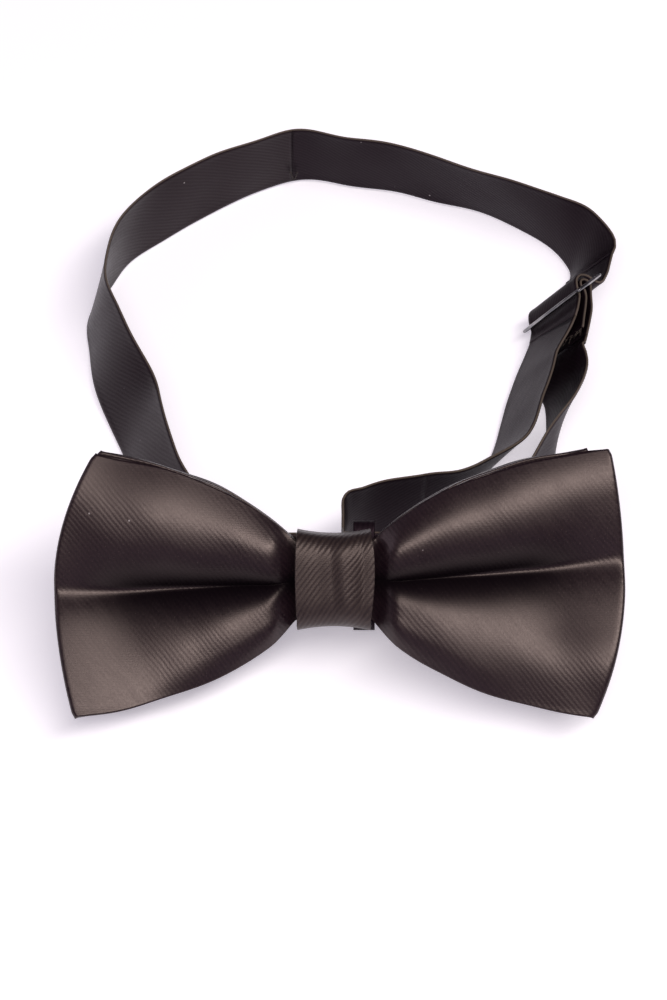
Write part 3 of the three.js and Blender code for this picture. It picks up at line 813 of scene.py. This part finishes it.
threadPaint = Paint("dull_thread", Specular_IOR_Level=0.2)
twist = threadPaint.noise(2400.0, 2.0)
threadPaint.finish(
    Base_Color=threadPaint.mix(twist.ramp(0.3, 0.7), (0.010, 0.007, 0.008, 1), (0.045, 0.036, 0.036, 1)),
    Roughness=0.72 + (twist - 0.5) * 0.2,
    Normal=threadPaint.bump(twist, 0.00006),
)
frayPaint = Paint("pale_frayed_thread", Specular_IOR_Level=0.25)
wisp = frayPaint.noise(1800.0, 2.0)
frayPaint.finish(
    Base_Color=frayPaint.mix(wisp.ramp(0.35, 0.7), (0.020, 0.015, 0.015, 1), (0.22, 0.18, 0.16, 1)),
    Roughness=0.65 + (wisp - 0.5) * 0.2,
)
for nodeName in ("gathering_thread", "band_end_stitches", "strap_end_stitches", "band_back_tack"):
    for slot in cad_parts[nodeName].material_slots:
        slot.material = threadPaint.material

metalPaint = Paint("dark_nickel", Metallic=1.0)
scuff = metalPaint.noise(900.0, 4.0)
smear = metalPaint.noise(120.0, 3.0)
bright = (scuff * 0.25 + smear * 0.75).ramp(0.40, 0.66)
metalPaint.finish(
    Base_Color=metalPaint.mix(bright, (0.16, 0.16, 0.17, 1), (0.46, 0.45, 0.45, 1)),
    Roughness=0.30 + (scuff - 0.5) * 0.12,
    Normal=metalPaint.bump(scuff, 0.00002),
)

slider = {"sideClearance": 0.5, "bar": 1.2, "plate": 0.9, "corner": 1.5}
plateAlong = heading * math.cos(sliderTilt) - sliderOut * math.sin(sliderTilt)
plateFace = np.cross(sliderAcross, plateAlong)


def makeSlider():
    # a flattened wire bent into a rounded rectangle, and a straight bar across its middle
    halfLong = strap["width"] / 2 + slider["sideClearance"] + slider["bar"] / 2
    corner = slider["corner"]
    turn = np.linspace(0, tau, 192, endpoint=False)
    square = lambda value, half: np.clip(value * (half + corner), -(half - corner), half - corner)
    across = square(np.cos(turn), halfLong) + corner * np.cos(turn)
    along = square(np.sin(turn), barPitch) + corner * np.sin(turn)
    path = sliderMiddle + across[:, None] * sliderAcross + along[:, None] * plateAlong
    flatness = slider["plate"] / slider["bar"]
    wire = tubes("slider_wire", path[None], slider["bar"] / 2, 14, True, flatness, plateFace)
    reach = np.linspace(-halfLong, halfLong, 40)
    middleBar = sliderMiddle + reach[:, None] * sliderAcross
    rod = tubes("slider_centre_bar", middleBar[None], slider["bar"] / 2 * 0.95, 14, False, 0.75, plateFace)
    for piece in (wire, rod):
        piece.data.materials.append(metalPaint.material)
        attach(piece, "slider")
        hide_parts("slider_frame")


makeSlider()

fray = {"threads": 46, "length": 2.6, "radius": 0.055, "seed": 12}


def makeFray():
    # loose warp threads standing out of the cut end, each a short seeded curl
    dice = np.random.default_rng(fray["seed"])
    count = fray["threads"]
    end = sliderMiddle - heading * 11.6 + sliderOut * -2.2
    spot = dice.uniform(-0.5, 0.5, count) * strap["width"]
    length = fray["length"] * dice.uniform(0.35, 1.0, count)
    share = np.linspace(0, 1, 9)
    side = dice.normal(0, 0.5, count)[:, None] * share ** 2 + 0.25 * np.sin(share * 5 + dice.uniform(0, tau, (count, 1)))
    lift = dice.normal(0.1, 0.5, count)[:, None] * share ** 1.6
    ahead = -length[:, None] * share
    paths = (
        end
        + ahead[:, :, None] * heading
        + (spot[:, None] + side)[:, :, None] * sliderAcross
        + lift[:, :, None] * sliderOut
    )
    thing = tubes("frayed_end_threads", paths, fray["radius"] * (1 - 0.6 * share)[None, :], 5)
    thing.data.materials.append(frayPaint.material)
    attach(thing, "strap_end")


makeFray()
print("slider and threads made")


# floor and light
floorLook = {"size": 6.0, "colour": (0.84, 0.86, 0.92, 1), "glow": 0.42}


def makeFloor():
    half = floorLook["size"] / 2 / mm
    line = np.linspace(-half, half, 3)
    points = np.stack([*np.meshgrid(line, line, indexing="ij"), np.full((3, 3), -0.05)], -1)
    thing = gridMesh("floor", points, line[None, :], line[:, None], flip=True)
    paint = Paint("floor_white", Roughness=0.85, Specular_IOR_Level=0.1, Emission_Strength=floorLook["glow"],
                  Emission_Color=(0.97, 0.91, 1.0, 1))
    tint = paint.noise(0.6, 2.0)
    thing.data.materials.append(
        paint.finish(Base_Color=paint.mix(tint, floorLook["colour"], (0.86, 0.88, 0.94, 1)))
    )


lights = [
    {"name": "overhead", "at": (0.30, -0.46, 1.07), "towards": (0, -0.03, 0), "size": (1.5, 0.30), "power": 15.0,
     "colour": (1.0, 0.92, 0.87)},
    {"name": "front_card", "at": (-0.1, -1.6, 0.5), "towards": (0, 0, 0), "size": (1.6, 0.5), "power": 0.9,
     "colour": (0.85, 0.72, 1.0)},
    {"name": "left_card", "at": (-1.1, 0.1, 0.7), "towards": (0, 0.05, 0), "size": (0.7, 0.7), "power": 1.8,
     "colour": (0.95, 0.85, 1.0)},
]


def makeLights():
    for light in lights:
        data = bpy.data.lights.new(light["name"], "AREA")
        data.shape = "RECTANGLE"
        data.size, data.size_y = light["size"]
        data.energy = light["power"]
        data.color = light["colour"]
        thing = bpy.data.objects.new(light["name"], data)
        towards = Vector(light["towards"]) - Vector(light["at"])
        aimed = towards.to_track_quat("-Z", "Y").to_matrix().to_4x4()
        thing.matrix_world = Matrix.Translation(light["at"]) @ aimed
        bpy.context.collection.objects.link(thing)
    world = bpy.data.worlds.new("studio")
    world.use_nodes = True
    world.node_tree.nodes["Background"].inputs[0].default_value = (0.92, 0.80, 1.0, 1)
    world.node_tree.nodes["Background"].inputs[1].default_value = 0.09
    bpy.context.scene.world = world
    bpy.context.scene.view_settings.view_transform = "Standard"


makeFloor()
makeLights()
print("studio lit")
